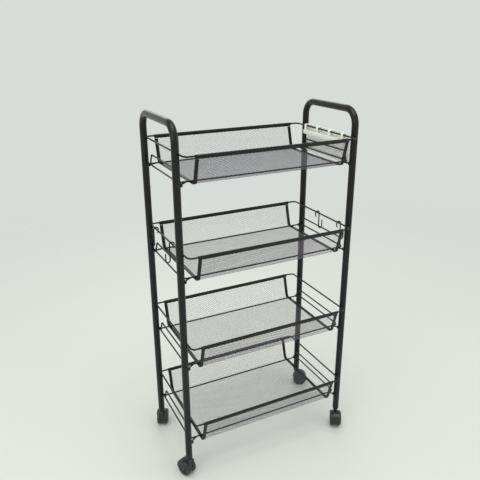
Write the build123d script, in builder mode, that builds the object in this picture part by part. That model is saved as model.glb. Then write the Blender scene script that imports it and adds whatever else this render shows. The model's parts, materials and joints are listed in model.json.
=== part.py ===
"""Four-tier mesh basket cart on swivel casters.

Millimetres. +X is the cart's length, +Y its back, +Z up.
The origin lies on the floor, at the middle of the four posts.
"""

import os

from build123d import *

# Overall sizes
POST_X = 213.3  # half the distance between the end frames
POST_Y = 100.5  # half the distance between the two posts of a frame
FRAME_TOP = 850.0  # top of the handle bars
TIER_SHARES = (0.9211, 0.6735, 0.4206, 0.1806)  # rim wire heights over FRAME_TOP
BASKET_DEPTH = 56.0  # rim wire down to lower wire, centre to centre

# End frames
TUBE_D = 16.0
TUBE_WALL = 1.2
HANDLE_R = 34.0  # bend radius on the centre line

# Baskets
RIM_WIRE = 4.0
LOWER_WIRE = 3.6
RIM_OVERHANG = 22.5  # rim wire beyond the posts' centres, front and back
RIM_CORNER = 10.0
LOWER_TUCK = 0.15  # lower wire past the posts' inner sides, front and back
LOWER_REACH = 3.5  # lower wire beyond the rim wire at each end
LOWER_CORNER = 10.0
LOOP_HEIGHT = 22.0  # end loop's top over the lower wire
LOOP_CORNER = 4.0
LOOP_SHARE = 0.89  # end loop's half width over the lower wire's
MESH_T = 0.8
MESH_END_GAP = 21.8  # from the rim's end wire to the mesh's end
MESH_LEAN = 15.0  # how far each wall leans in, top to bottom
MESH_CORNER = 7.0
BAND_T = 1.0  # folded sheet of the rims and end strips
RIM_BAND = 8.6  # height of the folded rim
STRIP_W = 8.0

# Fixing tabs and screws
TAB_D = 9.0
TAB_T = 1.8
TAB_DROP = 4.0  # below the lower wire
TAB_START = 16.0  # from the post back to where the tab's arm leaves the lower wire
SCREW_D = 3.9
HEAD_D = 7.0
HEAD_H = 2.3

# Casters
WHEEL_D = 37.5
WHEEL_W = 9.2
WEB_W = 8.0  # middle web of the fork
WEB_RISE = 1.5  # web's lower edge over the floor
AXLE_D = 5.0
HUB_SKIN = 2.0  # wheel's outer face over the axle's end
TRAIL = 10.0
HOOD_GAP = 1.0
HOOD_T = 1.8
CHEEK_T = 0.9
SPIGOT_D = 5.6
SPIGOT_REACH = 11.0
BOSS_T = 2.4
STEM_D = 10.0
NECK = 3.2  # bare stem between fork and plug
PLUG_FLANGE = 4.0
STEM_REACH = 26.0
SIDE_GAP = 0.4  # between faces that turn past each other
BORE_GAP = 0.05  # radial, on pins
CASTER_TURN = {"fl": 111.0, "fr": -122.0, "br": -28.0, "bl": 64.0}

# Hooks on the second tier's end wires
HOOK_WIRE = 3.0
HOOK_EYE = 5.5  # bend radii on the wire's centre line
HOOK_BEND = 4.9
HOOK_NECK = 4.0  # straight part of the eye
HOOK_CURL = 65.0
HOOK_DROP = 38.0
HOOK_LIP = 16.5
HOOK_GAP = 0.3
HOOK_TIER = 1
HOOK_FROM_POST = {  # end, post counted from, distance in from its centre
    "left_back": (-1, 1, 16.0),
    "left_front": (-1, -1, 76.8),
    "right_back": (1, 1, 85.7),
    "right_front": (1, -1, 24.5),
}

# Caddy hung on the top tier's right end wire
CADDY_T = 2.0
CADDY_DEPTH = 20.0
CADDY_DROP = 63.0  # rim wire down to the caddy's floor
CADDY_MOUTH = 15.0  # rim wire down to the caddy's outer edge
CADDY_SHIFT = 4.0
CADDY_END_GAP = 16.5  # from a post's centre to the caddy's end, before the shift
CLIP_W = 7.0
CLIP_INSET = 5.0
CLIPS = 4
CLIP_BAR_TOP = 9.5  # bar's top and bottom below the rim wire
CLIP_BAR_FOOT = 20.0
CADDY_GAP = 0.6

# Worked out from the sizes above
RIM_Z = [share * FRAME_TOP for share in TIER_SHARES]
TUBE_R = TUBE_D / 2
FACE_X = POST_X - TUBE_R  # inner side of the posts
RIM_X = FACE_X - RIM_WIRE / 2
RIM_Y = POST_Y + RIM_OVERHANG
LOWER_X = RIM_X + LOWER_REACH
LOWER_Y = POST_Y - TUBE_R + LOWER_TUCK
LOOP_Y = LOWER_Y * LOOP_SHARE
STRIP_END = RIM_X - MESH_END_GAP
MESH_END = STRIP_END - BAND_T
STRIP_T = MESH_T + 2 * BAND_T
FLOOR_DROP = BASKET_DEPTH + LOWER_WIRE / 2 + STRIP_T / 2  # the lower wire lies on the mesh floor
RIM_FOOT = RIM_BAND - RIM_WIRE / 2 - BAND_T  # rim's lower edge below the rim wire
MESH_FOOT_Y = RIM_Y - MESH_LEAN
WHEEL_R = WHEEL_D / 2
HOOD_R = WHEEL_R + HOOD_GAP + HOOD_T
FORK_W = WEB_W + 2 * (WHEEL_W + 2 * SIDE_GAP + CHEEK_T)
FORK_TOP = WHEEL_R + HOOD_R - 0.6
PLUG_FOOT = FORK_TOP + NECK
POST_FOOT = PLUG_FOOT + PLUG_FLANGE
BORE_D = TUBE_D - 2 * TUBE_WALL
POSTS = {"fl": (-1, -1), "fr": (1, -1), "br": (1, 1), "bl": (-1, 1)}


def rod(start, end, diameter):
    """A straight round bar."""
    start = Vector(*start)
    end = Vector(*end)
    with BuildPart() as bar:
        with BuildSketch(Plane(origin=start, z_dir=end - start)):
            Circle(diameter / 2)
        extrude(amount=(end - start).length)
    return bar.part


def half_ring(reach, width, corner, level, diameter):
    """The +X half of a rounded ring of wire."""
    with BuildPart() as half:
        with BuildLine() as path:
            FilletPolyline(
                (0, -width, level),
                (reach, -width, level),
                (reach, width, level),
                (0, width, level),
                radius=corner,
            )
        with BuildSketch(Plane(origin=(0, -width, level), z_dir=(1, 0, 0))):
            Circle(diameter / 2)
        sweep(path=path.line)
    return half.part


def end_frame(side):
    """A bent tube that makes two posts and the handle bar between them."""
    x = side * POST_X
    top = FRAME_TOP - TUBE_R
    holes = []
    for rim in RIM_Z:
        z = rim - BASKET_DEPTH - TAB_DROP
        for y in (-POST_Y, POST_Y):
            holes.append(rod((side * (FACE_X - 1), y, z), (x, y, z), SCREW_D + 2 * BORE_GAP))
    with BuildPart() as frame:
        with BuildLine() as path:
            FilletPolyline(
                (x, -POST_Y, POST_FOOT),
                (x, -POST_Y, top),
                (x, POST_Y, top),
                (x, POST_Y, POST_FOOT),
                radius=HANDLE_R,
            )
        with BuildSketch(Plane.XY.offset(POST_FOOT)):
            with Locations((x, -POST_Y)):
                Circle(TUBE_R)
                Circle(BORE_D / 2, mode=Mode.SUBTRACT)
        sweep(path=path.line)
        add(holes, mode=Mode.SUBTRACT)
    return frame.part


def post_plugs():
    """The four plastic sockets pressed into the posts' feet."""
    with BuildPart() as plugs:
        with BuildSketch(Plane.XY.offset(POST_FOOT)):
            with GridLocations(2 * POST_X, 2 * POST_Y, 2, 2):
                Circle(BORE_D / 2)
        extrude(amount=STEM_REACH + 2)
        for centre in GridLocations(2 * POST_X, 2 * POST_Y, 2, 2).local_locations:
            with BuildSketch(Plane.XY.offset(PLUG_FOOT)):
                with Locations(centre):
                    Circle(STEM_D / 2 + 1.2)
            with BuildSketch(Plane.XY.offset(POST_FOOT)):
                with Locations(centre):
                    Circle(TUBE_R - 0.2)
            loft()
        with BuildSketch(Plane.XY.offset(PLUG_FOOT)):
            with GridLocations(2 * POST_X, 2 * POST_Y, 2, 2):
                Circle(STEM_D / 2 + BORE_GAP)
        extrude(amount=STEM_REACH, mode=Mode.SUBTRACT)
    return plugs.part


def caster_stems():
    """The four steel stems: a spigot in each fork and a shank in each plug."""
    shoulder = FORK_TOP + SIDE_GAP
    with BuildPart() as stems:
        with BuildSketch(Plane.XY.offset(FORK_TOP - SPIGOT_REACH)):
            with GridLocations(2 * POST_X, 2 * POST_Y, 2, 2):
                Circle(SPIGOT_D / 2)
        extrude(amount=SPIGOT_REACH + 1)
        with BuildSketch(Plane.XY.offset(shoulder)):
            with GridLocations(2 * POST_X, 2 * POST_Y, 2, 2):
                Circle(STEM_D / 2)
        extrude(amount=PLUG_FOOT + STEM_REACH - 1 - shoulder)
    return stems.part


def rim_ring(rim):
    """The closed wire around a basket's mouth."""
    half = half_ring(RIM_X, RIM_Y, RIM_CORNER, rim, RIM_WIRE)
    with BuildPart() as ring:
        add(half)
        mirror(about=Plane.YZ)
    return ring.part


def fixing_tab(end, level):
    """A pressed eye against a right-hand post and the arm that carries it."""
    y = end * POST_Y
    drop = level - TAB_DROP
    face = FACE_X - TAB_T
    near = (FACE_X - TAB_START, end * LOWER_Y, level)
    far = (FACE_X - TAB_T * 0.3, y - end * TAB_D / 4, drop)
    arm = rod(near, far, LOWER_WIRE)
    with BuildPart() as tab:
        add(arm)
        with BuildSketch(Plane.YZ.offset(FACE_X)):
            Rectangle(4 * POST_Y, 4 * FRAME_TOP)
        extrude(amount=2 * LOWER_WIRE, mode=Mode.SUBTRACT)
        with BuildSketch(Plane.YZ.offset(face)):
            with Locations((y, drop)):
                Circle(TAB_D / 2)
        extrude(amount=TAB_T)
        with BuildSketch(Plane.YZ.offset(face)):
            with Locations((y, drop)):
                Circle(HEAD_D / 2 + SIDE_GAP)
        extrude(amount=-2 * HEAD_H, mode=Mode.SUBTRACT)
        with BuildSketch(Plane.YZ.offset(face - 1)):
            with Locations((y, drop)):
                Circle(SCREW_D / 2 + BORE_GAP)
        extrude(amount=TAB_T + 2, mode=Mode.SUBTRACT)
    return tab.part


def lower_ring(rim):
    """The closed wire on a basket's floor, with its four fixing tabs."""
    level = rim - BASKET_DEPTH
    half = half_ring(LOWER_X, LOWER_Y, LOWER_CORNER, level, LOWER_WIRE)
    tabs = [fixing_tab(-1, level), fixing_tab(1, level)]
    with BuildPart() as ring:
        add(half)
        add(tabs)
        mirror(about=Plane.YZ)
    return ring.part


def end_loops(rim):
    """The two bent wires that stand on the lower ring and guard the open ends."""
    foot = rim - BASKET_DEPTH + LOWER_WIRE * 0.3
    top = rim - BASKET_DEPTH + LOOP_HEIGHT
    lean = (RIM_X - LOWER_X, 0, top - foot)
    ring = half_ring(LOWER_X, LOWER_Y, LOWER_CORNER, rim - BASKET_DEPTH, LOWER_WIRE)
    with BuildPart() as loops:
        with BuildLine() as path:
            FilletPolyline(
                (LOWER_X, -LOOP_Y, foot),
                (RIM_X, -LOOP_Y, top),
                (RIM_X, LOOP_Y, top),
                (LOWER_X, LOOP_Y, foot),
                radius=LOOP_CORNER,
            )
        with BuildSketch(Plane(origin=(LOWER_X, -LOOP_Y, foot), z_dir=lean)):
            Circle(LOWER_WIRE / 2)
        sweep(path=path.line)
        add(ring, mode=Mode.SUBTRACT)
        mirror(about=Plane.YZ)
    return loops.part


def trough_corners(rim, top, grow):
    """Corners of the basket's trough from its left edge to its right one."""
    floor = rim - FLOOR_DROP
    knee = rim - RIM_FOOT - 0.4
    if top < RIM_FOOT:
        left = [(-RIM_Y - grow, rim - top), (-RIM_Y - grow, knee)]
    else:
        lean = MESH_LEAN * (knee - rim + top) / (knee - floor)
        left = [(lean - RIM_Y - grow, rim - top)]
    left.append((MESH_LEAN - RIM_Y - grow, floor - grow))
    return left + [(-y, z) for y, z in reversed(left)]


def trough(rim, top, thickness, start, length):
    """A length of the basket's trough, from `top` below the rim wire down."""
    with BuildPart() as band:
        with BuildSketch(Plane.YZ.offset(start)) as section:
            with BuildLine():
                Polyline(*trough_corners(rim, top, thickness / 2), close=True)
            make_face()
            fillet(section.vertices().group_by(Axis.Y)[0], MESH_CORNER + thickness / 2)
            with BuildSketch(mode=Mode.SUBTRACT) as hollow:
                with BuildLine():
                    Polyline(*trough_corners(rim, top, -thickness / 2), close=True)
                make_face()
                fillet(hollow.vertices().group_by(Axis.Y)[0], MESH_CORNER - thickness / 2)
        extrude(amount=length)
    return band.part


def mesh_sheet(rim):
    """The basket's mesh, here a plain sheet of the mesh's thickness."""
    return trough(rim, RIM_WIRE / 2 + 0.1, MESH_T, -MESH_END, 2 * MESH_END)


def end_strips(rim):
    """The folded bindings over the mesh's two end edges."""
    binding = trough(rim, RIM_FOOT + 1, STRIP_T, STRIP_END - STRIP_W, STRIP_W)
    sheet = mesh_sheet(rim)
    with BuildPart() as strips:
        add(binding)
        add(sheet, mode=Mode.SUBTRACT)
        mirror(about=Plane.YZ)
    return strips.part


def rim_fold(rim, end):
    """The folded sheet over the rim wire and the mesh's upper edge."""
    y = end * RIM_Y
    with BuildPart() as fold:
        with BuildSketch(Plane.YZ.offset(-STRIP_END)):
            with Locations((y, rim - RIM_FOOT + RIM_BAND / 2)):
                RectangleRounded(RIM_WIRE + 2 * BAND_T, RIM_BAND, BAND_T * 1.4)
            with Locations((y, rim)):
                Circle(RIM_WIRE / 2, mode=Mode.SUBTRACT)
            with Locations((y, rim - RIM_BAND / 2)):
                Rectangle(MESH_T, RIM_BAND, mode=Mode.SUBTRACT)
        extrude(amount=2 * STRIP_END)
    return fold.part


def tier_screws(rim):
    """The four pan-head screws that hold one basket's tabs to the posts."""
    z = rim - BASKET_DEPTH - TAB_DROP
    face = FACE_X - TAB_T
    with BuildPart() as screws:
        with BuildSketch(Plane.YZ.offset(face)):
            with Locations((-POST_Y, z), (POST_Y, z)):
                Circle(SCREW_D / 2)
        extrude(amount=TAB_T + TUBE_WALL + 2.5)
        with BuildSketch(Plane.YZ.offset(face)):
            with Locations((-POST_Y, z), (POST_Y, z)):
                Circle(HEAD_D / 2)
        extrude(amount=-HEAD_H)
        rims = screws.edges().filter_by(GeomType.CIRCLE).group_by(Axis.X)[0]
        fillet(rims, radius=HEAD_H * 0.55)
        with BuildSketch(Plane.YZ.offset(face - HEAD_H)):
            with Locations((-POST_Y, z), (POST_Y, z)):
                Rectangle(HEAD_D * 0.55, HEAD_D * 0.14)
                Rectangle(HEAD_D * 0.14, HEAD_D * 0.55)
        extrude(amount=HEAD_H * 0.45, mode=Mode.SUBTRACT)
        mirror(about=Plane.YZ)
    return screws.part


def caster_place(corner):
    """The place of a caster, whose own X runs from the swivel axis to the axle."""
    side, end = POSTS[corner]
    return Pos(side * POST_X, end * POST_Y, 0) * Rot(0, 0, CASTER_TURN[corner])


def fork():
    """The moulded fork: hood with side cheeks, middle web and swivel boss."""
    wheels = [wheel_room(1), wheel_room(-1)]
    with BuildPart() as body:
        with BuildSketch(Plane.XZ.offset(-FORK_W / 2)):
            with Locations((TRAIL, WHEEL_R)):
                Circle(HOOD_R)
            with BuildLine():
                Polyline(
                    (TRAIL - 2 * HOOD_R, WHEEL_R + HOOD_R * 0.80),
                    (TRAIL - HOOD_R * 0.55, WHEEL_R + HOOD_R * 0.80),
                    (TRAIL + HOOD_R * 0.80, WHEEL_R + HOOD_R * 0.02),
                    (TRAIL + 2 * HOOD_R, WHEEL_R - HOOD_R * 0.10),
                    (TRAIL + 2 * HOOD_R, -HOOD_R),
                    (TRAIL - 2 * HOOD_R, -HOOD_R),
                    close=True,
                )
            make_face(mode=Mode.SUBTRACT)
        extrude(amount=FORK_W)
        with BuildSketch(Plane.XZ.offset(-WEB_W / 2)):
            with Locations((TRAIL, WHEEL_R)):
                Circle(HOOD_R - HOOD_T)
            with Locations((TRAIL, -AXLE_D)):
                Rectangle(4 * HOOD_R, 2 * WHEEL_R, mode=Mode.SUBTRACT)
            with Locations((TRAIL, WHEEL_R)):
                Circle(WHEEL_R - WEB_RISE)
        extrude(amount=WEB_W)
        with BuildSketch(Plane.XY.offset(FORK_TOP - SPIGOT_REACH - 2)):
            Circle(SPIGOT_D / 2 + BOSS_T)
        extrude(amount=SPIGOT_REACH + 2)
        add(wheels, mode=Mode.SUBTRACT)
        with BuildSketch(Plane.XY.offset(FORK_TOP - SPIGOT_REACH - SIDE_GAP)):
            Circle(SPIGOT_D / 2 + BORE_GAP)
        extrude(amount=2 * SPIGOT_REACH, mode=Mode.SUBTRACT)
        with BuildSketch(Plane.XZ.offset(-WEB_W)):
            with Locations((TRAIL, WHEEL_R)):
                Circle(AXLE_D / 2)
        extrude(amount=2 * WEB_W, mode=Mode.SUBTRACT)
    return body.part


def wheel_room(hand):
    """The room a wheel turns in, wide enough for the clearances around it."""
    with BuildPart() as room:
        with BuildSketch(Plane.XZ.offset(-hand * WEB_W / 2)):
            with Locations((TRAIL, WHEEL_R)):
                Circle(WHEEL_R + HOOD_GAP)
        extrude(amount=-hand * (WHEEL_W + 2 * SIDE_GAP))
    return room.part


def axle():
    """The steel axle, held by the fork's web."""
    reach = WEB_W / 2 + SIDE_GAP + WHEEL_W - HUB_SKIN - SIDE_GAP
    with BuildPart() as pin:
        with BuildSketch(Plane.XZ.offset(-reach)):
            with Locations((TRAIL, WHEEL_R)):
                Circle(AXLE_D / 2)
        extrude(amount=2 * reach)
    return pin.part


def wheel(hand):
    """One wheel, hand being the side of the web it runs on."""
    inner = WEB_W / 2 + SIDE_GAP
    outer = inner + WHEEL_W
    with BuildPart() as disc:
        with BuildSketch(Plane.XZ.offset(-hand * inner)):
            with Locations((TRAIL, WHEEL_R)):
                Circle(WHEEL_R)
        extrude(amount=-hand * WHEEL_W)
        rims = disc.edges().filter_by(GeomType.CIRCLE).sort_by(Axis.Y)
        fillet(rims[-1] if hand > 0 else rims[0], radius=WHEEL_W * 0.22)
        with BuildSketch(Plane.XZ.offset(-hand * outer)):
            with Locations((TRAIL, WHEEL_R)):
                Circle(WHEEL_R * 0.76)
                Circle(WHEEL_R * 0.34, mode=Mode.SUBTRACT)
        extrude(amount=hand * HUB_SKIN * 0.7, mode=Mode.SUBTRACT)
        with BuildSketch(Plane.XZ.offset(-hand * (inner - 1))):
            with Locations((TRAIL, WHEEL_R)):
                Circle(AXLE_D / 2 + BORE_GAP)
        extrude(amount=-hand * (1 + WHEEL_W - HUB_SKIN), mode=Mode.SUBTRACT)
    return disc.part


def hook(side, y):
    """A bent wire hook, its eye around the rim's end wire and its lip outside."""
    wire = Plane(origin=(side * RIM_X, y, RIM_Z[HOOK_TIER]), x_dir=(side, 0, 0), z_dir=(0, -side, 0))
    crown = RIM_WIRE / 2 + HOOK_GAP + HOOK_WIRE / 2 - HOOK_EYE
    low = crown - HOOK_NECK
    lip = HOOK_EYE + 2 * HOOK_BEND
    with BuildPart() as bent:
        with BuildLine(wire) as path:
            curl = CenterArc((0, low), HOOK_EYE, 180 + HOOK_CURL, -HOOK_CURL)
            Line((-HOOK_EYE, low), (-HOOK_EYE, crown))
            CenterArc((0, crown), HOOK_EYE, 180, -180)
            Line((HOOK_EYE, crown), (HOOK_EYE, -HOOK_DROP))
            CenterArc((HOOK_EYE + HOOK_BEND, -HOOK_DROP), HOOK_BEND, 180, 180)
            Line((lip, -HOOK_DROP), (lip, HOOK_LIP - HOOK_DROP))
        with BuildSketch(Plane(origin=curl @ 0, z_dir=curl % 0)):
            Circle(HOOK_WIRE / 2)
        sweep(path=path.line)
    return bent.part


def caddy():
    """The moulded caddy: a slim box outside the end wire, its tall inner wall clipped over the wire."""
    rim = RIM_Z[0]
    inner = LOWER_X + LOWER_WIRE / 2 + CADDY_GAP
    middle = inner + CADDY_DEPTH / 2
    back = RIM_X - RIM_WIRE / 2 - CADDY_GAP - CADDY_T
    over = rim + RIM_WIRE / 2 + HOOK_GAP
    foot = rim - CADDY_DROP
    length = 2 * (POST_Y - CADDY_END_GAP)
    pitch = (length - CLIP_W - 2 * CLIP_INSET) / (CLIPS - 1)
    clips = [CADDY_SHIFT + pitch * (step - (CLIPS - 1) / 2) for step in range(CLIPS)]
    with BuildPart() as box:
        with BuildSketch(Plane.XY.offset(foot)):
            with Locations((middle, CADDY_SHIFT)):
                RectangleRounded(CADDY_DEPTH, length, 2 * CADDY_T)
        extrude(amount=CADDY_DROP - CADDY_MOUTH)
        with BuildSketch(Plane.XY.offset(foot + CADDY_T)):
            with Locations((middle, CADDY_SHIFT)):
                RectangleRounded(CADDY_DEPTH - 2 * CADDY_T, length - 2 * CADDY_T, CADDY_T)
        extrude(amount=CADDY_DROP, mode=Mode.SUBTRACT)
        with BuildSketch(Plane.YZ.offset(inner)):
            with Locations((CADDY_SHIFT, (foot + over + CADDY_T) / 2)):
                RectangleRounded(length, over + CADDY_T - foot, 3 * CADDY_T)
        extrude(amount=CADDY_T)
        for y in clips:
            with BuildSketch(Plane.XZ.offset(-y - CLIP_W / 2)):
                with BuildLine():
                    Polyline(
                        (inner, foot + CADDY_DROP / 2),
                        (inner, over),
                        (back + CADDY_T, over),
                        (back + CADDY_T, rim - CLIP_BAR_TOP - CADDY_T),
                        (back, rim - CLIP_BAR_TOP - CADDY_T),
                        (back, over + CADDY_T),
                        (inner + CADDY_T, over + CADDY_T),
                        (inner + CADDY_T, foot + CADDY_DROP / 2),
                        close=True,
                    )
                make_face()
            extrude(amount=CLIP_W)
        with BuildSketch(Plane.YZ.offset(back)):
            with Locations((CADDY_SHIFT, rim - (CLIP_BAR_TOP + CLIP_BAR_FOOT) / 2)):
                RectangleRounded(length, CLIP_BAR_FOOT - CLIP_BAR_TOP, 2 * CADDY_T)
        extrude(amount=CADDY_T)
    return box.part


def save(name, shape):
    """Labels a finished node and writes it to the parts folder."""
    shape.label = name
    export_step(shape, f"parts/{name}.step")
    print(name, round(shape.volume, 1), len(shape.solids()))


def main():
    os.makedirs("parts", exist_ok=True)
    save("frame_left", end_frame(-1))
    save("frame_right", end_frame(1))
    save("post_plugs", post_plugs())
    save("caster_stems", caster_stems())
    for number, rim in enumerate(RIM_Z, start=1):
        tier = f"tier{number}"
        save(f"{tier}_rim_ring", rim_ring(rim))
        save(f"{tier}_lower_ring", lower_ring(rim))
        save(f"{tier}_end_loops", end_loops(rim))
        save(f"{tier}_mesh", mesh_sheet(rim))
        save(f"{tier}_rim_front", rim_fold(rim, -1))
        save(f"{tier}_rim_back", rim_fold(rim, 1))
        save(f"{tier}_end_strips", end_strips(rim))
        save(f"{tier}_screws", tier_screws(rim))
    pieces = {"fork": fork(), "axle": axle(), "wheel_a": wheel(1), "wheel_b": wheel(-1)}
    for corner in POSTS:
        for name, piece in pieces.items():
            save(f"caster_{corner}_{name}", caster_place(corner) * piece)
    for name, (side, end, inset) in HOOK_FROM_POST.items():
        save(f"hook_{name}", hook(side, end * (POST_Y - inset)))
    save("side_caddy", caddy())


main()
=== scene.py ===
"""A four-tier mesh basket cart on swivel casters, laid out as an add-on and run as a script."""

import json
from math import cos, pi, radians, sin, tan

import bmesh
import bpy
import numpy as np
from bpy.props import FloatProperty, FloatVectorProperty, IntProperty, PointerProperty
from bpy.types import Operator, Panel, PropertyGroup
from mathutils import Euler, Matrix, Quaternion, Vector


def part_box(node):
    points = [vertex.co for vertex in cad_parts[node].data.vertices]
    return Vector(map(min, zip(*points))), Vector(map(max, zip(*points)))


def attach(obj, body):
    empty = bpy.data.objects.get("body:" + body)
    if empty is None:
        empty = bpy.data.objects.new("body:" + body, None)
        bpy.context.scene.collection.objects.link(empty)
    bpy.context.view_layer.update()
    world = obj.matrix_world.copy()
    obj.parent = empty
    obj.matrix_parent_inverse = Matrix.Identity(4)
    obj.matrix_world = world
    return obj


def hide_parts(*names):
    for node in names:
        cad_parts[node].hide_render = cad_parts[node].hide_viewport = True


bl_info = {
    "name": "Mesh Basket Cart",
    "version": (1, 0, 0),
    "blender": (4, 5, 0),
    "location": "View3D > Sidebar > Cart",
    "description": "Builds a rolling cart of expanded metal baskets around its packed frame",
    "category": "Add Mesh",
}

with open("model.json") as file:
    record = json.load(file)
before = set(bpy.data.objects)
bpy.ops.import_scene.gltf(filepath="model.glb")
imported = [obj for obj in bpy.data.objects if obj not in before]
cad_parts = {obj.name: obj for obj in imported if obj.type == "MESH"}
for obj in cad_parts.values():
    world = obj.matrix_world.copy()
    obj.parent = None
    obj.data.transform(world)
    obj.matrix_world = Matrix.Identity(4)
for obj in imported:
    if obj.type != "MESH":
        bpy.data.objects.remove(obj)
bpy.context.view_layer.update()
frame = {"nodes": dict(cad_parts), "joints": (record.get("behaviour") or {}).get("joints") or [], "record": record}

MM = 0.001
SHEET = 0.8 * MM  # thickness of the expanded metal
GAP = 0.4 * MM  # between a wheel and what stands beside it
CART = "cart"
TIERS = (1, 2, 3, 4)
CORNERS = ("fl", "fr", "br", "bl")
CLIPS = 4  # on the caddy
HOOKS = ("left_back", "left_front", "right_back", "right_front")


# Sizes and colours

def length(name, words, default):
    """A length in metres, given here in millimetres."""
    return FloatProperty(name=name, description=words, default=default * MM, min=0, unit="LENGTH",
                         precision=5)


def colour(name, words, default):
    """A colour in linear light."""
    return FloatVectorProperty(name=name, description=words, default=default, size=3, min=0, max=1,
                               subtype="COLOR")


class CartSizes(PropertyGroup):
    """Sizes of the visible model that the frame doesn't hold."""

    handle_bend: length("Handle bend", "Bend radius of the end frames, on the centre line", 34)
    tube_wall: length("Tube wall", "Wall thickness of the end frames' tube", 1.2)
    rim_bend: length("Rim bend", "Bend radius of the rim wires' corners", 10)
    loop_bend: length("Loop bend", "Bend radius of the end loops", 4)
    trough_bend: length("Trough bend", "Bend radius between a basket's floor and walls", 7)
    wall_lean: length("Wall lean", "How far a basket wall leans in, from top to bottom", 15)
    cell_long: length("Cell length", "Long way of one diamond of the mesh", 10.2)
    cell_short: length("Cell height", "Short way of one diamond of the mesh", 5.5)
    strand_width: length("Strand width", "Width of one strand of the mesh", 0.34)
    strand_depth: length("Strand depth", "Thickness of one strand of the mesh", 0.34)
    strand_tilt: FloatProperty(name="Strand tilt", description="Tilt of the strands out of the sheet",
                               default=radians(12), subtype="ANGLE")
    fold_sheet: length("Fold sheet", "Thickness of the folded rims and bindings", 1.0)
    fold_foot: length("Fold foot", "Depth of a folded rim under its wire", 5.6)
    binding_width: length("Binding width", "Width of the binding on a basket's end edge", 8)
    hook_eye: length("Hook eye", "Bend radius of a hook's eye, on the centre line", 5.5)
    hook_bend: length("Hook bend", "Bend radius of a hook's lower end", 4.9)
    hook_neck: length("Hook neck", "Straight part of a hook's eye", 4)
    hook_wire: length("Hook wire", "Diameter of the hook wire", 3)
    hook_drop: length("Hook drop", "From the wire down to the start of the lower bend", 38)
    hook_lip: length("Hook lip", "Straight part of a hook's open end", 16.5)
    caddy_wall: length("Caddy wall", "Thickness of the caddy's walls", 2)
    caddy_clip: length("Clip width", "Width of one of the caddy's clips", 7)
    caddy_inset: length("Clip inset", "From the caddy's end to its first clip", 5)
    caddy_clearance: length("Caddy clearance", "Between the end wire and the caddy's inner wall", 0.6)
    caddy_mouth: length("Caddy mouth", "Rim wire down to the caddy's outer edge", 15)
    caddy_bar_top: length("Bar top", "Rim wire down to the top of the caddy's inner bar", 9.5)
    caddy_bar_foot: length("Bar foot", "Rim wire down to the foot of the caddy's inner bar", 20)
    wheel_width: length("Wheel width", "Width of one wheel", 9.2)
    web_rise: length("Web rise", "Lower edge of the fork's web over the floor", 1.5)
    hood_gap: length("Hood gap", "Clearance between a wheel and its hood", 1)
    hood_skin: length("Hood skin", "Thickness of the hood", 1.8)
    wheel_spokes: IntProperty(name="Wheel spokes", description="Ribs on a wheel's outer face", default=6,
                              min=3)


class CartColours(PropertyGroup):
    """Colours of the finishes."""

    enamel: colour("Enamel", "Powder coat on the tubes and wires", (0.0046, 0.0052, 0.0050))
    mesh: colour("Mesh", "Powder coat on the expanded metal", (0.125, 0.105, 0.145))
    band: colour("Bands", "Powder coat on the folded sheet", (0.0058, 0.0066, 0.0062))
    steel: colour("Steel", "Bare stems and axles", (0.22, 0.22, 0.21))
    nylon: colour("Nylon", "Sockets and forks", (0.012, 0.0145, 0.0145))
    wheel: colour("Wheels", "Wheel treads and faces", (0.0165, 0.0195, 0.0180))
    caddy: colour("Caddy", "White moulding", (0.93, 0.92, 0.86))
    floor: colour("Floor", "Plain pale floor", (0.74, 0.745, 0.70))
    sky: colour("Surroundings", "Even light around the cart", (0.675, 0.715, 0.68))


# Shader maths

class Signal:
    """A socket that carries a value, so that sums on it add Math nodes."""

    def __init__(self, finish, socket):
        self.finish = finish
        self.socket = socket

    def _math(self, operation, *values):
        return self.finish.node("ShaderNodeMath", {"operation": operation}, *values)

    def __add__(self, other):
        return self._math("ADD", self, other)

    def __rsub__(self, other):
        return self._math("SUBTRACT", other, self)

    def __mul__(self, other):
        return self._math("MULTIPLY", self, other)

    __radd__ = __add__

    def band(self, low, high):
        """0 below low, 1 above high and smooth between."""
        settings = {"interpolation_type": "SMOOTHSTEP"}
        return self.finish.node("ShaderNodeMapRange", settings, self, low, high, 0.0, 1.0)


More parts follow.
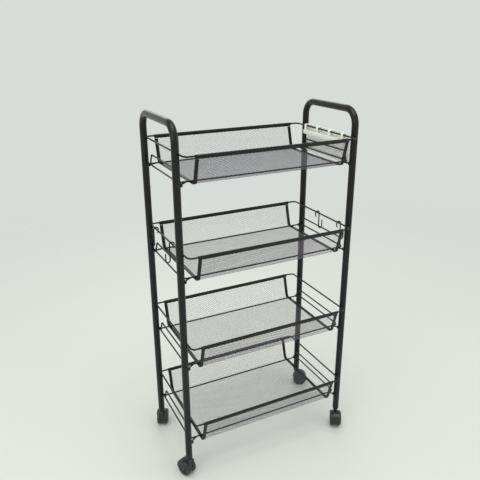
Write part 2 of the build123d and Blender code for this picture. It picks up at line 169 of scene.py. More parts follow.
class Finish:
    """A material while its nodes are laid."""

    def __init__(self, name, base, roughness, **fixed):
        self.material = bpy.data.materials.new(name)
        self.material.use_nodes = True
        self.tree = self.material.node_tree
        self.shader = self.tree.nodes["Principled BSDF"]
        self.place = self.node("ShaderNodeTexCoord", output="Object")
        self.material.diffuse_color = (*base, 1)
        self.shader.inputs["Base Color"].default_value = (*base, 1)
        self.shader.inputs["Roughness"].default_value = roughness
        for key, value in fixed.items():
            socket = key.replace("_", " ").title().replace("Ior", "IOR")
            self.shader.inputs[socket].default_value = value

    def node(self, kind, settings=None, *values, output=0, **named):
        """Adds a node: its settings first, then its sockets by order or by name."""
        node = self.tree.nodes.new(kind)
        for key, value in (settings or {}).items():
            setattr(node, key, value)
        pairs = list(zip(node.inputs, values))
        pairs += [(node.inputs[key.replace("_", " ").title()], value) for key, value in named.items()]
        for socket, value in pairs:
            if isinstance(value, Signal):
                self.tree.links.new(value.socket, socket)
            elif value is not None:
                socket.default_value = value
        return Signal(self, node.outputs[output])

    def noise(self, scale, detail=2.0, roughness=0.5, place=None):
        """Noise from 0 to 1, scale being features to a metre."""
        return self.node("ShaderNodeTexNoise", {"noise_dimensions": "3D"}, place or self.place, None,
                         scale, detail, roughness, output="Fac")

    def stretched(self, x, y, z):
        """The place with its axes scaled."""
        return self.node("ShaderNodeVectorMath", {"operation": "MULTIPLY"}, self.place, (x, y, z))

    def mix(self, amount, first, second):
        """A colour between two colours."""
        node = self.tree.nodes.new("ShaderNodeMix")
        node.data_type = "RGBA"
        for key, value in (("Factor_Float", amount), ("A_Color", first), ("B_Color", second)):
            socket = next(s for s in node.inputs if s.identifier == key)
            if isinstance(value, Signal):
                self.tree.links.new(value.socket, socket)
            else:
                socket.default_value = value if isinstance(value, float) else (*value, 1)
        return Signal(self, next(s for s in node.outputs if s.identifier == "Result_Color"))

    def feed(self, socket, signal):
        """Joins a signal to one of the shader's sockets."""
        self.tree.links.new(signal.socket, self.shader.inputs[socket])
        return self

    def bump(self, height, strength, depth):
        """Raises the surface by a height map, depth being in metres."""
        normal = self.node("ShaderNodeBump", None, Strength=strength, Distance=depth, Height=height,
                           output="Normal")
        return self.feed("Normal", normal)


def shade(base, factor):
    """A lighter or darker tone of a colour."""
    return tuple(min(1.0, channel * factor) for channel in base)


# Finishes

def powder_coat(name, base, roughness, peel=0.3, coat=0.35, shine=0.25):
    """Black powder coat: an orange-peel skin, soft patches of gloss and a few pale specks of dust."""
    finish = Finish(name, base, roughness, coat_weight=coat, coat_roughness=0.1, coat_ior=1.4,
                    specular_ior_level=shine)
    patches = finish.noise(28, 3)
    skin = finish.noise(820, 2, 0.55)
    grain = finish.noise(3600, 1)
    specks = finish.noise(1500, 0).band(0.74, 0.80)
    worn = finish.noise(9, 4, 0.65).band(0.45, 0.8)
    tone = finish.mix(patches, shade(base, 0.75), shade(base, 1.35))
    dusty = finish.mix(specks * 0.12 + worn * 0.02, tone, (0.20, 0.20, 0.19))
    finish.feed("Base Color", dusty)
    finish.feed("Roughness", roughness - 0.05 + patches * 0.1 + worn * 0.06)
    return finish.bump(skin * 0.8 + grain * 0.2, peel, 0.00008).material


def moulded(name, base, roughness, texture=900, depth=0.00005):
    """Moulded nylon: spark-eroded grain, faint flow marks and scuffs."""
    finish = Finish(name, base, roughness)
    grain = finish.noise(texture, 3, 0.6)
    flow = finish.noise(35, 2, 0.5, finish.stretched(1, 1, 3))
    scuffs = finish.noise(260, 4, 0.75, finish.stretched(0.3, 1, 2)).band(0.58, 0.75)
    tone = finish.mix(flow, shade(base, 0.8), shade(base, 1.3))
    finish.feed("Base Color", finish.mix(scuffs * 0.3, tone, shade(base, 3.2)))
    finish.feed("Roughness", roughness - 0.06 + flow * 0.12 + scuffs * 0.15)
    return finish.bump(grain, 0.35, depth).material


def white_moulding(name, base):
    """The caddy's white plastic: slightly yellowed, with faint flow and handling marks."""
    finish = Finish(name, base, 0.34, subsurface_weight=0.06, subsurface_scale=0.003)
    flow = finish.noise(22, 3)
    grain = finish.noise(1400, 2)
    marks = finish.noise(120, 5, 0.7).band(0.6, 0.85)
    tone = finish.mix(flow, shade(base, 0.97), shade(base, 1.03))
    finish.feed("Base Color", finish.mix(marks * 0.25, tone, (0.62, 0.58, 0.46)))
    finish.feed("Roughness", 0.3 + flow * 0.1 + marks * 0.1)
    return finish.bump(grain, 0.2, 0.00004).material


def turned_steel(name, base):
    """Turned steel: fine rings around the stem and a film of dark oil."""
    finish = Finish(name, base, 0.35, metallic=1.0)
    rings = finish.noise(900, 2, 0.6, finish.stretched(0.05, 0.05, 3))
    oil = finish.noise(90, 3)
    finish.feed("Base Color", finish.mix(oil, shade(base, 0.5), shade(base, 1.2)))
    finish.feed("Roughness", 0.25 + rings * 0.2)
    return finish.bump(rings, 0.25, 0.00004).material


def floor_finish(base):
    """A plain pale floor with barely any tone in it, which fades away far from the cart."""
    finish = Finish("floor_finish", base, 0.5)
    cloud = finish.noise(2, 2)
    away = finish.node("ShaderNodeVectorMath", {"operation": "LENGTH"}, finish.place, output="Value")
    finish.feed("Alpha", 1.0 - away.band(0.8, 2.6))
    finish.feed("Base Color", finish.mix(cloud, shade(base, 0.99), shade(base, 1.01)))
    return finish.feed("Roughness", 0.48 + cloud * 0.04).material


def finish_for(slot_name):
    """The material of one of the record's slots, made when it is first asked for."""
    name = "cart_" + slot_name
    if name in bpy.data.materials:
        return bpy.data.materials[name]
    colours = bpy.context.scene.cart_colours
    makers = {
        "frame_enamel": lambda: powder_coat(name, colours.enamel, 0.24, 0.2, 0.25),
        "wire_enamel": lambda: powder_coat(name, colours.enamel, 0.30, 0.2, 0.15),
        "mesh_enamel": lambda: powder_coat(name, colours.mesh, 0.42, 0.2, 0.0, 0.4),
        "band_enamel": lambda: powder_coat(name, colours.band, 0.36, 0.3, 0.1),
        "screw_steel": lambda: powder_coat(name, colours.band, 0.30, 0.1, 0.3),
        "stem_steel": lambda: turned_steel(name, colours.steel),
        "socket_plastic": lambda: moulded(name, colours.nylon, 0.45),
        "fork_plastic": lambda: moulded(name, colours.nylon, 0.33),
        "wheel_plastic": lambda: moulded(name, colours.wheel, 0.42, 700, 0.00008),
        "caddy_plastic": lambda: white_moulding(name, colours.caddy),
    }
    return makers[slot_name]()


# Shapes

def piece(name, vertices, faces, slot_name, body=CART, replaced=(), smooth=50, soften=0.0):
    """Makes a visible piece: its mesh, finish, body and the frame nodes it stands for."""
    mesh = bpy.data.meshes.new(name)
    mesh.from_pydata([tuple(v) for v in vertices], [], faces)
    made = bmesh.new()
    made.from_mesh(mesh)
    bmesh.ops.remove_doubles(made, verts=made.verts, dist=1e-6)
    bmesh.ops.recalc_face_normals(made, faces=made.faces)
    if soften:
        sharp = [e for e in made.edges if len(e.link_faces) == 2 and e.calc_face_angle(0) > radians(40)]
        bmesh.ops.bevel(made, geom=sharp, offset=soften, segments=2, profile=0.6, affect="EDGES",
                        clamp_overlap=True)
    made.to_mesh(mesh)
    made.free()
    return finish_piece(name, mesh, slot_name, body, replaced, smooth)


def finish_piece(name, mesh, slot_name, body, replaced, smooth):
    """Puts a finished mesh in the scene as a piece."""
    mesh.shade_smooth()
    mesh.set_sharp_from_angle(angle=radians(smooth))
    mesh.materials.append(finish_for(slot_name))
    made = bpy.data.objects.new(name, mesh)
    bpy.context.scene.collection.objects.link(made)
    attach(made, body)
    if replaced:
        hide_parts(*replaced)
    return made


def coat(node):
    """Gives a frame node that stays visible the finish of its own slot."""
    slots = {part["node"]: part["material_slot"] for part in frame["record"]["subparts"]}
    kept = frame["nodes"][node]
    kept.data.materials.clear()
    kept.data.materials.append(finish_for(slots[node]))


def bent(corners, radius, steps=8, closed=False):
    """A line through corners, with an arc of the given radius at each."""
    corners = [Vector(c) for c in corners]
    count = len(corners)
    points = []
    for i, corner in enumerate(corners):
        if not closed and i in (0, count - 1):
            points.append(corner)
            continue
        back = (corners[i - 1] - corner).normalized()
        ahead = (corners[(i + 1) % count] - corner).normalized()
        half = back.angle(ahead) / 2
        centre = corner + (back + ahead).normalized() * radius / sin(half)
        spoke = corner + back * radius / tan(half) - centre
        turn = pi - 2 * half
        axis = back.cross(ahead)
        points += [centre + Quaternion(-axis, turn * k / steps) @ spoke for k in range(steps + 1)]
    return points


def arc(centre, radius, start, end, steps):
    """Points of an arc in a plane, angles in degrees."""
    angles = [radians(start + (end - start) * k / steps) for k in range(steps + 1)]
    return [(centre[0] + radius * cos(a), centre[1] + radius * sin(a)) for a in angles]


def sweep(path, section, across, closed=False, scales=None):
    """Sweeps a closed section along a flat path; across is the normal of the path's plane."""
    across = Vector(across).normalized()
    count, sides = len(path), len(section)
    vertices = []
    for i, point in enumerate(path):
        before = path[i - 1] if closed or i else path[i]
        after = path[(i + 1) % count] if closed or i < count - 1 else path[i]
        outward = across.cross((after - before).normalized())
        size = scales[i] if scales else 1
        vertices += [point + (across * a + outward * b) * size for a, b in section]
    faces = []
    for i in range(count if closed else count - 1):
        here, there = i * sides, (i + 1) % count * sides
        for k in range(sides):
            faces.append((here + k, here + (k + 1) % sides, there + (k + 1) % sides, there + k))
    if not closed:
        faces.append(tuple(reversed(range(sides))))
        faces.append(tuple(range((count - 1) * sides, count * sides)))
    return vertices, faces


def round_section(radius, sides=20):
    """A circle as a section for sweep."""
    return arc((0, 0), radius, 0, 360 * (sides - 1) / sides, sides - 1)


def round_ends(path, radius, steps=4):
    """The path with its ends drawn out, and the section's scale at each point, for rounded ends."""
    first = (path[0] - path[1]).normalized()
    last = (path[-1] - path[-2]).normalized()
    turns = [pi / 2 * k / steps for k in range(1, steps + 1)]
    sizes = [max(cos(a), 0.06) for a in turns]
    head = [path[0] + first * radius * (sin(a) - 1) for a in reversed(turns)]
    tail = [path[-1] + last * radius * (sin(a) - 1) for a in turns]
    inner = [path[0] - first * radius, *path[1:-1], path[-1] - last * radius]
    return head + inner + tail, sizes[::-1] + [1] * len(inner) + sizes


def joined(*parts):
    """Several sets of vertices and faces as one."""
    vertices, faces = [], []
    for more, more_faces in parts:
        offset = len(vertices)
        vertices += more
        faces += [tuple(i + offset for i in face) for face in more_faces]
    return vertices, faces


def moved(part, matrix):
    """Vertices and faces, with the vertices moved."""
    vertices, faces = part
    return [matrix @ Vector(v) for v in vertices], faces


def lathe(profile, sides=64):
    """Turns a closed outline of (radius, height) points about +Z."""
    vertices = []
    for k in range(sides):
        angle = 2 * pi * k / sides
        vertices += [Vector((r * cos(angle), r * sin(angle), h)) for r, h in profile]
    count = len(profile)
    faces = []
    for k in range(sides):
        here, there = k * count, (k + 1) % sides * count
        for i in range(count):
            faces.append((here + i, there + i, there + (i + 1) % count, here + (i + 1) % count))
    return vertices, faces


def slab(outline, low, high):
    """A flat outline of (x, y) points drawn up from low to high along +Z."""
    count = len(outline)
    vertices = [Vector((x, y, z)) for z in (low, high) for x, y in outline]
    faces = [(k, (k + 1) % count, count + (k + 1) % count, count + k) for k in range(count)]
    return vertices, faces + [tuple(reversed(range(count))), tuple(range(count, 2 * count))]


# Places that come from the frame

class Tier:
    """The places and sizes of one tier, read from the frame."""

    def __init__(self, number):
        self.name = f"tier{number}"
        low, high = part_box(f"{self.name}_rim_ring")
        self.wire = (high.z - low.z) / 2
        self.rim = (high.z + low.z) / 2
        self.x = high.x - self.wire
        self.y = high.y - self.wire
        self.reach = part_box(f"{self.name}_lower_ring")[1].x - self.x
        sheet_low, sheet_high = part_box(f"{self.name}_mesh")
        self.end = sheet_high.x
        self.sheet_low = sheet_low.z
        self.sheet_top = sheet_high.z

    def trough(self, top, radius):
        """The middle line of the basket's sheet, from top below the rim wire, front to back."""
        sizes = bpy.context.scene.cart_sizes
        floor = self.sheet_low + SHEET / 2
        knee = self.rim - sizes.fold_foot - 0.4 * MM
        lean = sizes.wall_lean
        top_y, foot_y = self.y, self.y - lean
        start_z = self.rim - top
        left = [(-top_y, start_z), (-top_y, knee), (-foot_y, floor)]
        if start_z < knee:
            share = (knee - start_z) / (knee - floor)
            left = [(-top_y + share * lean, start_z), (-foot_y, floor)]
        corners = [Vector((0, y, z)) for y, z in left + [(-y, z) for y, z in reversed(left)]]
        return bent(corners, radius)


# Pieces

class CART_OT_frames(Operator):
    """Builds the two bent-tube end frames and finishes the sockets in their feet"""

    bl_idname = "cart.frames"
    bl_label = "End frames"

    def execute(self, context):
        sizes = context.scene.cart_sizes
        sides = 48
        for name in ("frame_left", "frame_right"):
            low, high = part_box(name)
            radius = (high.x - low.x) / 2
            x = (high.x + low.x) / 2
            y = high.y - radius
            top = high.z - radius
            path = bent([(x, -y, low.z), (x, -y, top), (x, y, top), (x, y, low.z)], sizes.handle_bend, 20)
            skin, skin_faces = sweep(path, round_section(radius, sides), (1, 0, 0))
            bore, bore_faces = sweep(path, round_section(radius - sizes.tube_wall, sides), (1, 0, 0))
            vertices, faces = joined((skin, skin_faces[:-2]), (bore, bore_faces[:-2]))
            for start in (0, len(skin) - sides):
                inner = start + len(skin)
                for k in range(sides):
                    after = (k + 1) % sides
                    faces.append((start + k, start + after, inner + after, inner + k))
            piece(name + "_tube", vertices, faces, "frame_enamel", replaced=(name,), smooth=40)
        coat("post_plugs")
        coat("caster_stems")
        return {"FINISHED"}


class CART_OT_wires(Operator):
    """Builds the rim wires and finishes the end loops, lower rings and screws"""

    bl_idname = "cart.wires"
    bl_label = "Wire rings and loops"

    def execute(self, context):
        sizes = context.scene.cart_sizes
        for number in TIERS:
            tier = Tier(number)
            x, y, z = tier.x, tier.y, tier.rim
            ring = bent([(-x, -y, z), (x, -y, z), (x, y, z), (-x, y, z)], sizes.rim_bend, closed=True)
            piece(tier.name + "_rim_wire", *sweep(ring, round_section(tier.wire), (0, 0, 1), closed=True),
                  "wire_enamel", replaced=(tier.name + "_rim_ring",))
            coat(tier.name + "_lower_ring")
            coat(tier.name + "_end_loops")
            coat(tier.name + "_screws")
        return {"FINISHED"}


class CART_OT_mesh(Operator):
    """Weaves the expanded metal of the four baskets"""

    bl_idname = "cart.mesh"
    bl_label = "Basket mesh"

    def execute(self, context):
        for number in TIERS:
            tier = Tier(number)
            mesh = expanded_metal(tier, context.scene.cart_sizes)
            finish_piece(tier.name + "_expanded_metal", mesh, "mesh_enamel", CART,
                         (tier.name + "_mesh",), 30)
        return {"FINISHED"}


def expanded_metal(tier, sizes):
    """The mesh sheet: wavy strands side by side, each touching its neighbours at the knuckles."""
    line = tier.trough(tier.rim - tier.sheet_top, sizes.trough_bend)
    points = np.array([(p.y, p.z) for p in line])
    steps = np.linalg.norm(np.diff(points, axis=0), axis=1)
    along = np.concatenate([[0], np.cumsum(steps)])
    rows = round(along[-1] / (sizes.cell_short / 2))
    columns = round(2 * tier.end / (sizes.cell_long / 2))
    pitch = along[-1] / rows
    row = np.arange(rows)[:, None]
    column = np.arange(columns + 1)[None, :]
    rise = np.where((row + column) % 2 == 0, 1.0, -1.0)
    wave = pitch / 2 - sizes.strand_width / 2
    middle = (row + 0.5) * pitch + rise * wave
    x = np.broadcast_to(-tier.end + 2 * tier.end * column / columns, middle.shape)
    half_w, half_t = sizes.strand_width / 2, sizes.strand_depth / 2
    lean_cos, lean_sin = cos(sizes.strand_tilt), sin(sizes.strand_tilt)
    shrink = SHEET / 2 / (half_w * lean_sin + half_t * lean_cos)
    corners = []
    for a, b in ((-1, -1), (1, -1), (1, 1), (-1, 1)):
        flat = a * half_w * lean_cos - b * half_t * lean_sin
        out = (a * half_w * lean_sin + b * half_t * lean_cos) * min(1.0, shrink)
        s = np.clip(middle + flat, 0, along[-1])
        y, z = np.interp(s, along, points[:, 0]), np.interp(s, along, points[:, 1])
        ahead = np.clip(s + MM / 2, 0, along[-1])
        behind = np.clip(s - MM / 2, 0, along[-1])
        dy = np.interp(ahead, along, points[:, 0]) - np.interp(behind, along, points[:, 0])
        dz = np.interp(ahead, along, points[:, 1]) - np.interp(behind, along, points[:, 1])
        size = np.hypot(dy, dz)
        corners.append(np.stack([x, y - out * dz / size, z + out * dy / size], -1))
    vertices = np.stack(corners, 2).reshape(-1, 3)
    start = ((row * (columns + 1)) + column[:, :-1]) * 4
    side = np.arange(4)
    here = start[:, :, None] + side
    there = start[:, :, None] + (side + 1) % 4
    faces = np.stack([here, there, there + 4, here + 4], -1).reshape(-1, 4)
    first = np.arange(rows) * (columns + 1) * 4
    last = first + columns * 4
    caps = np.concatenate([first[:, None] + side[::-1], last[:, None] + side])
    mesh = bpy.data.meshes.new(tier.name + "_expanded_metal")
    mesh.from_pydata(vertices, [], np.concatenate([faces, caps]).tolist())
    chart(mesh, rows, columns)
    return mesh


def chart(mesh, rows, columns):
    """Lays each strand's four sides out as four thin rows of the bake's map."""
    layer = mesh.uv_layers.new(name="OFBake")
    row, column, side = np.meshgrid(np.arange(rows), np.arange(columns), np.arange(4), indexing="ij")
    line = (row * 4 + side).reshape(-1)
    column = column.reshape(-1)
    u = np.stack([column, column, column + 1, column + 1], -1) / columns
    v = np.stack([line, line + 1, line + 1, line], -1) / (rows * 4)
    sides = np.stack([u, v], -1).reshape(-1)
    caps = np.tile(np.array([0, 0, 1, 0, 1, 1, 0, 1]) / columns, 2 * rows)
    layer.uv.foreach_set("vector", np.concatenate([sides, caps]).astype(np.float32))


class CART_OT_trim(Operator):
    """Folds the rims over the long wires and binds the mesh's end edges"""

    bl_idname = "cart.trim"
    bl_label = "Folded rims and bindings"

    def execute(self, context):
        sizes = context.scene.cart_sizes
        sheet = sizes.fold_sheet
        for number in TIERS:
            tier = Tier(number)
            end = tier.end + sheet
            outer = tier.wire + sheet
            foot = SHEET / 2 + sheet
            fold = [(-foot, -sizes.fold_foot)]
            fold += arc((0, 0), outer, 200, -20, 16)
            fold += [(foot, -sizes.fold_foot), (SHEET / 2, -sizes.fold_foot)]
            fold += arc((0, 0), tier.wire, -50, 230, 14)
            fold += [(-SHEET / 2, -sizes.fold_foot)]
            for side, word in ((-1, "front"), (1, "back")):
                path = [Vector((x, side * tier.y, tier.rim)) for x in (-end, end)]
                parts = sweep(path, [(-b, a) for a, b in fold], (0, 0, -1))
                piece(f"{tier.name}_rim_fold_{word}", *parts, "band_enamel",
                      replaced=(f"{tier.name}_rim_{word}",), smooth=35, soften=0.15 * MM)
            line = tier.trough(sizes.fold_foot + MM, sizes.trough_bend)
            bindings = []
            for side in (-1, 1):
                strip = [(side * (end - a), b) for a, b in binding_section(sizes)]
                bindings.append(sweep(line, strip, (1, 0, 0)))
            piece(tier.name + "_end_bindings", *joined(*bindings), "band_enamel",
                  replaced=(tier.name + "_end_strips",), smooth=35)
        return {"FINISHED"}


def binding_section(sizes):
    """A folded strip around the sheet's edge, its first size being the depth from the fold's nose."""
    sheet = sizes.fold_sheet
    half = SHEET / 2 + sheet
    width = sizes.binding_width
    edge = 0.35 * MM
    nose = [(half + x, y) for x, y in arc((0, 0), half, 90, 270, 10)]
    inner = [(half + x, y) for x, y in arc((0, 0), SHEET / 2, 270, 90, 6)]
    low = [(width - edge, -half), (width, -half + edge), (width, -SHEET / 2)]
    high = [(width, SHEET / 2), (width, half - edge), (width - edge, half)]
    return nose + low + inner + high


class CART_OT_casters(Operator):
    """Builds the hooded forks and twin wheels of the four casters"""

    bl_idname = "cart.casters"
    bl_label = "Casters"

    def execute(self, context):
        sizes = context.scene.cart_sizes
        joints = {joint["name"]: joint for joint in frame["joints"]}
        for corner in CORNERS:
            swivel = Vector(joints[f"caster_{corner}_swivel"]["pos_m"])
            spin = joints[f"wheel_{corner}_a_spin"]
            hub = Vector(spin["pos_m"])
            axle = Vector(spin["axis"])
            trail = Vector((hub.x - swivel.x, hub.y - swivel.y, 0))
            facing = Matrix((trail.normalized(), axle, (0, 0, 1))).transposed().to_4x4()
            place = Matrix.Translation(hub) @ facing
            radius = hub.z
            web = web_half(corner, axle, hub, sizes)
            fork = hood(radius, web, trail.length, sizes)
            piece(f"caster_{corner}_hood", *moved(fork, place), "fork_plastic", f"caster_{corner}",
                  (f"caster_{corner}_fork",), smooth=35, soften=0.25 * MM)
            coat(f"caster_{corner}_axle")
            for hand, letter in ((1, "a"), (-1, "b")):
                disc = wheel(radius, web + GAP, sizes)
                face = Matrix.Rotation(-pi / 2 * hand, 4, "X")
                piece(f"wheel_{corner}_{letter}", *moved(disc, place @ face), "wheel_plastic",
                      f"wheel_{corner}_{letter}", (f"caster_{corner}_wheel_{letter}",), smooth=35)
        return {"FINISHED"}


def web_half(corner, axle, hub, sizes):
    """Half the width of the fork's web, from where the inner faces of the wheels lie."""
    node = frame["nodes"][f"caster_{corner}_wheel_a"]
    reach = [(v.co - hub).dot(axle) for v in node.data.vertices]
    return min(reach) - GAP


def hood(radius, web, trail, sizes):
    """The hood, web and boss of a fork, about the axle: X along the trail, Y along the axle."""
    start, turn, steps = -6, 134, 28  # degrees up from the trail
    room = radius + sizes.hood_gap
    crown = room + sizes.hood_skin
    cheek = 0.9 * MM
    half = web + sizes.wheel_width + 2 * GAP + cheek
    fillet = 4.5 * MM
    vertices = []
    for step in range(steps + 1):
        angle = radians(start + turn * step / steps)
        inner = cheek_line(crown, angle)
        outer_side = arc((half - fillet, crown - fillet), fillet, 0, 90, 6)
        inner_side = arc((half - fillet, crown - fillet), fillet - cheek * 1.2, 90, 0, 6)
        right = [(half, inner)] + outer_side
        section = right + [(-a, r) for a, r in reversed(right)]
        hollow = [(a, min(r, room)) for a, r in inner_side] + [(half - cheek, inner)]
        section += [(-a, r) for a, r in reversed(hollow)] + hollow
        vertices += [Vector((r * cos(angle), a, r * sin(angle))) for a, r in section]
    count = len(section)
    faces = []
    for here in range(0, steps * count, count):
        there = here + count
        for k in range(count):
            after = (k + 1) % count
            faces.append((here + k, here + after, there + after, there + k))
    faces.append(tuple(reversed(range(count))))
    faces.append(tuple(range(steps * count, (steps + 1) * count)))
    outline = arc((0, 0), room + 0.4 * MM, 2, 132, 16)
    outline += arc((0, 0), radius - sizes.web_rise, 134, 358, 28)
    plate = slab(outline, -web, web)
    plate = moved(plate, Matrix.Rotation(pi / 2, 4, "X"))
    boss_low, boss_high = 11 * MM, crown - 0.6 * MM
    bore, neck = 2.9 * MM, 5.2 * MM
    boss = [(bore, boss_low), (neck - MM, boss_low), (neck, boss_low + MM)]
    boss += [(neck, boss_high - MM), (neck - MM, boss_high), (bore, boss_high)]
    collar = moved(lathe(boss, 32), Matrix.Translation((-trail, 0, 0)))
    return joined((vertices, faces), plate, collar)


def cheek_line(crown, angle):
    """How far from the axle a cheek starts: it is cut along a slanted line over the hub."""
    slant = radians(62)
    least, most = crown * 0.40, crown * 0.80
    across = cos(angle - slant)
    return min(max(least / max(across, 0.2), least), most)


def wheel(radius, inner, sizes):
    """A wheel on +Z, its inner face at inner: rounded tread, recessed face, spokes and hub cap."""
    outer = inner + sizes.wheel_width
    bore = 2.55 * MM
    groove, groove_depth = inner + 2.6 * MM, 0.25 * MM
    round_out, round_in = 2.4 * MM, 0.8 * MM
    rib_half = 1.3 * MM
    web_level = outer - 1.8 * MM
    hub, lip = radius * 0.34, radius * 0.76
    profile = [(bore, inner), (radius - round_in, inner)]
    profile += arc((radius - round_in, inner + round_in), round_in, -60, 0, 3)
    profile += [(radius, groove), (radius - groove_depth, groove + 0.2 * MM)]
    profile += [(radius - groove_depth, groove + 0.5 * MM), (radius, groove + 0.7 * MM)]
    profile += arc((radius - round_out, outer - round_out), round_out, 0, 90, 7)
    profile += [(lip + 0.6 * MM, outer), (lip, outer - 0.5 * MM), (lip - 0.5 * MM, web_level)]
    profile += [(hub + 0.4 * MM, web_level), (hub, outer - 0.8 * MM), (hub - 0.7 * MM, outer - 0.2 * MM)]
    profile += [(bore, outer - 0.2 * MM)]
    turned = lathe(profile, 72)
    cap = lathe([(0.01 * MM, outer - 1.2 * MM), (bore + 0.1 * MM, outer - 1.2 * MM),
                 (bore + 0.1 * MM, outer - 0.3 * MM), (0.01 * MM, outer)], 24)
    spokes = []
    foot, taper = hub - 0.5 * MM, rib_half * 0.7
    for k in range(sizes.wheel_spokes):
        rib = slab([(foot, -rib_half), (lip, -taper), (lip, taper), (foot, rib_half)],
                   web_level - 0.2 * MM, outer - 0.7 * MM)
        spokes.append(moved(rib, Matrix.Rotation(2 * pi * k / sizes.wheel_spokes, 4, "Z")))
    return joined(turned, cap, *spokes)


class CART_OT_hooks(Operator):
    """Bends the four wire hooks"""

    bl_idname = "cart.hooks"
    bl_label = "Hooks"

    def execute(self, context):
        sizes = context.scene.cart_sizes
        joints = {joint["name"]: joint for joint in frame["joints"]}
        clearance = 0.3 * MM
        for name in HOOKS:
            at = Vector(joints[f"hook_{name}_swing"]["pos_m"])
            side = 1 if at.x > 0 else -1
            radius = sizes.hook_wire / 2
            eye, bend, drop = sizes.hook_eye, sizes.hook_bend, sizes.hook_drop
            crown = Tier(2).wire + clearance + radius - eye
            low = crown - sizes.hook_neck
            line = arc((0, low), eye, 245, 180, 8)
            line += arc((0, crown), eye, 180, 0, 20)
            line += arc((eye + bend, -drop), bend, 180, 360, 16)
            line += [(eye + 2 * bend, sizes.hook_lip - drop)]
            path = [at + Vector((side * x, 0, z)) for x, z in line]
            path, scales = round_ends(path, radius)
            piece(f"hook_{name}_wire", *sweep(path, round_section(radius, 16), (0, 1, 0), scales=scales),
                  "wire_enamel", f"hook_{name}", (f"hook_{name}",))
        return {"FINISHED"}


class CART_OT_caddy(Operator):
    """Finishes the white caddy on the top tier's right end"""

    bl_idname = "cart.caddy"
    bl_label = "Side caddy"

    def execute(self, context):
        sizes = context.scene.cart_sizes
        wall, clip_width = sizes.caddy_wall, sizes.caddy_clip
        low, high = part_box("side_caddy")
        rim = Tier(1)
        middle = (low.y + high.y) / 2
        half = (high.y - low.y) / 2
        inner = rim.x + rim.reach + sizes.caddy_clearance
        mouth = rim.rim - sizes.caddy_mouth
        lap = 0.15 * wall
        parts = [tray(inner + wall / 2, high.x, middle, half - lap, low.z + lap, mouth, wall)]
        tall = (high.z - lap - low.z) / 2
        parts.append(panel(rounded(middle, low.z + tall, half, tall, 3 * wall), inner, wall))
        bar_top, bar_foot = rim.rim - sizes.caddy_bar_top, rim.rim - sizes.caddy_bar_foot
        bar = rounded(middle, (bar_top + bar_foot) / 2, half, (bar_top - bar_foot) / 2, 2 * wall)
        parts.append(panel(bar, low.x, wall))
        first = half - sizes.caddy_inset - clip_width / 2
        for step in range(CLIPS):
            y = middle + first * (2 * step / (CLIPS - 1) - 1)
            parts.append(clip(low.x + lap, inner + wall - lap, bar_foot, high.z, y, clip_width, wall))
        piece("caddy_moulding", *joined(*parts), "caddy_plastic", body="side_caddy",
              replaced=("side_caddy",), smooth=40, soften=0.4 * MM)
        return {"FINISHED"}


def rounded(x, y, half_width, half_height, corner):
    """The outline of a rounded rectangle."""
    outline = []
    for turn, (a, b) in enumerate(((1, 1), (-1, 1), (-1, -1), (1, -1))):
        centre = (x + a * (half_width - corner), y + b * (half_height - corner))
        outline += arc(centre, corner, 90 * turn, 90 * turn + 90, 6)
    return outline


def panel(outline, x, thickness):
    """An upright panel from its (y, z) outline, thick along +X."""
    vertices, faces = slab(outline, x, x + thickness)
    return [Vector((v.z, v.x, v.y)) for v in vertices], faces


def tray(near, far, middle, half, foot, mouth, wall):
    """An open box with rounded upright corners."""
    x, half_depth = (near + far) / 2, (far - near) / 2
    outer = rounded(x, middle, half_depth, half, 2 * wall)
    inside = rounded(x, middle, half_depth - wall, half - wall, wall)
    count = len(outer)
    rings = [(inside, foot + wall), (inside, mouth), (outer, mouth), (outer, foot)]
    vertices = [Vector((a, b, z)) for ring, z in rings for a, b in ring]
    faces = [tuple(range(count)), tuple(range(3 * count, 4 * count))]
    for band in range(3):
        here, there = band * count, (band + 1) * count
        for k in range(count):
            after = (k + 1) % count
            faces.append((here + k, here + after, there + after, there + k))
    return vertices, faces


def clip(near, far, foot, top, y, width, wall):
    """An arm that drops from the caddy's inner wall over the wire and down its inner side."""
    bend = 1.6 * wall
    over = [(far, top - 4 * wall), (far, top - bend)] + arc((far - bend, top - bend), bend, 0, 90, 5)
    over += arc((near + bend, top - bend), bend, 90, 180, 5) + [(near, foot + wall)]
    over += [(near + wall, foot + wall), (near + wall, top - wall)]
    over += [(far - wall, top - wall), (far - wall, top - 4 * wall)]
    vertices, faces = slab(over, -width / 2, width / 2)
    return [Vector((v.x, y - v.z, v.y)) for v in vertices], faces


class CART_OT_stage(Operator):
    """Lays the floor and sets the lights and the camera"""

    bl_idname = "cart.stage"
    bl_label = "Floor, lights and camera"

    def execute(self, context):
        colours = context.scene.cart_colours
        lay_floor(colours.floor)
        surround(context.scene, colours.sky)
        for name, place, aim, width, height, power, tint in LAMPS:
            softbox(name, place, aim, width, height, power, tint)
        stand_camera(context.scene)
        return {"FINISHED"}


LAMPS = (  # name, place, aim, width, height, watts, tint
    ("overhead", (-0.3, -0.6, 2.9), (0, 0, 0.4), 2.2, 1.6, 30, (1.0, 1.0, 0.98)),
    ("window", (-2.6, -1.3, 1.7), (0, 0, 0.5), 1.6, 2.0, 12, (0.95, 0.98, 1.0)),
    ("fill", (2.2, -2.2, 1.4), (0, 0, 0.4), 1.8, 1.8, 8, (1.0, 0.99, 0.96)),
    ("rim", (0.9, 2.6, 1.9), (0, 0, 0.5), 2.0, 1.2, 8, (0.97, 0.99, 1.0)),
)


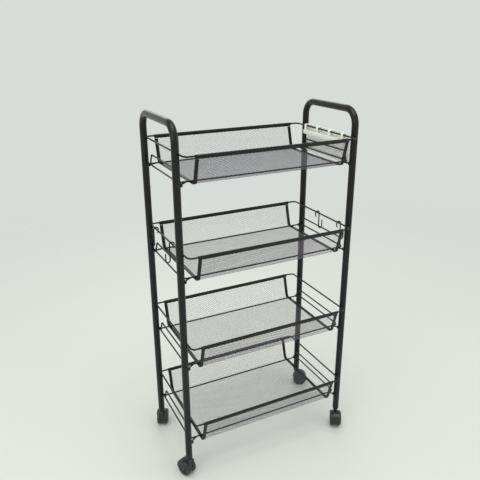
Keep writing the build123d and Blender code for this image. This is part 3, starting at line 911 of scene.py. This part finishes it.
def lay_floor(base):
    """A round floor."""
    reach, sides = 3.0, 96
    outline = [(reach * cos(2 * pi * k / sides), reach * sin(2 * pi * k / sides)) for k in range(sides)]
    mesh = bpy.data.meshes.new("studio_floor")
    mesh.from_pydata([(x, y, 0) for x, y in outline], [], [tuple(range(sides))])
    mesh.materials.append(floor_finish(base))
    floor = bpy.data.objects.new("studio_floor", mesh)
    bpy.context.scene.collection.objects.link(floor)


def surround(scene, sky):
    """Even pale light from all round."""
    world = bpy.data.worlds.new("studio_surroundings")
    world.use_nodes = True
    light = world.node_tree.nodes["Background"]
    light.inputs["Color"].default_value = (*sky, 1)
    light.inputs["Strength"].default_value = 1.0
    scene.world = world
    scene.view_settings.view_transform = "Standard"
    scene.view_settings.look = "None"


def softbox(name, place, aim, width, height, power, tint):
    """A soft rectangular lamp, aimed at a point."""
    lamp = bpy.data.lights.new(name, "AREA")
    lamp.shape = "RECTANGLE"
    lamp.size = width
    lamp.size_y = height
    lamp.energy = power
    lamp.color = tint
    held = bpy.data.objects.new(name, lamp)
    held.location = place
    held.rotation_euler = (Vector(aim) - Vector(place)).to_track_quat("-Z", "Y").to_euler()
    bpy.context.scene.collection.objects.link(held)


def stand_camera(scene):
    """A camera above the cart's front left corner, looking a little down."""
    place = (-0.5688, -1.0950, 1.0115)
    heading, down, roll = -26.42, 21.01, -0.247  # degrees
    view = bpy.data.cameras.new("view")
    view.sensor_width = 36
    view.lens = 41.35
    view.clip_end = 60
    camera = bpy.data.objects.new("view", view)
    turned = Euler((radians(90 - down), 0, radians(heading))).to_matrix()
    turned = turned @ Matrix.Rotation(radians(roll), 3, "Z")
    camera.matrix_world = Matrix.Translation(place) @ turned.to_4x4()
    scene.collection.objects.link(camera)
    scene.camera = camera


# The add-on

class CART_PT_panel(Panel):
    """Lists the cart's sizes, colours and pieces"""

    bl_idname = "CART_PT_panel"
    bl_label = "Mesh Basket Cart"
    bl_space_type = "VIEW_3D"
    bl_region_type = "UI"
    bl_category = "Cart"

    def draw(self, context):
        layout = self.layout
        for group in (context.scene.cart_sizes, context.scene.cart_colours):
            box = layout.box()
            for name in group.__annotations__:
                box.prop(group, name)
        for operator in OPERATORS:
            layout.operator(operator.bl_idname)


OPERATORS = (CART_OT_frames, CART_OT_wires, CART_OT_mesh, CART_OT_trim, CART_OT_casters, CART_OT_hooks,
             CART_OT_caddy, CART_OT_stage)
CLASSES = (CartSizes, CartColours, *OPERATORS, CART_PT_panel)


def register():
    for cls in CLASSES:
        bpy.utils.register_class(cls)
    bpy.types.Scene.cart_sizes = PointerProperty(type=CartSizes)
    bpy.types.Scene.cart_colours = PointerProperty(type=CartColours)


def unregister():
    del bpy.types.Scene.cart_colours
    del bpy.types.Scene.cart_sizes
    for cls in reversed(CLASSES):
        bpy.utils.unregister_class(cls)


def main():
    register()
    bpy.ops.cart.frames()
    bpy.ops.cart.wires()
    bpy.ops.cart.mesh()
    bpy.ops.cart.trim()
    bpy.ops.cart.casters()
    bpy.ops.cart.hooks()
    bpy.ops.cart.caddy()
    bpy.ops.cart.stage()


if __name__ == "__main__":
    main()
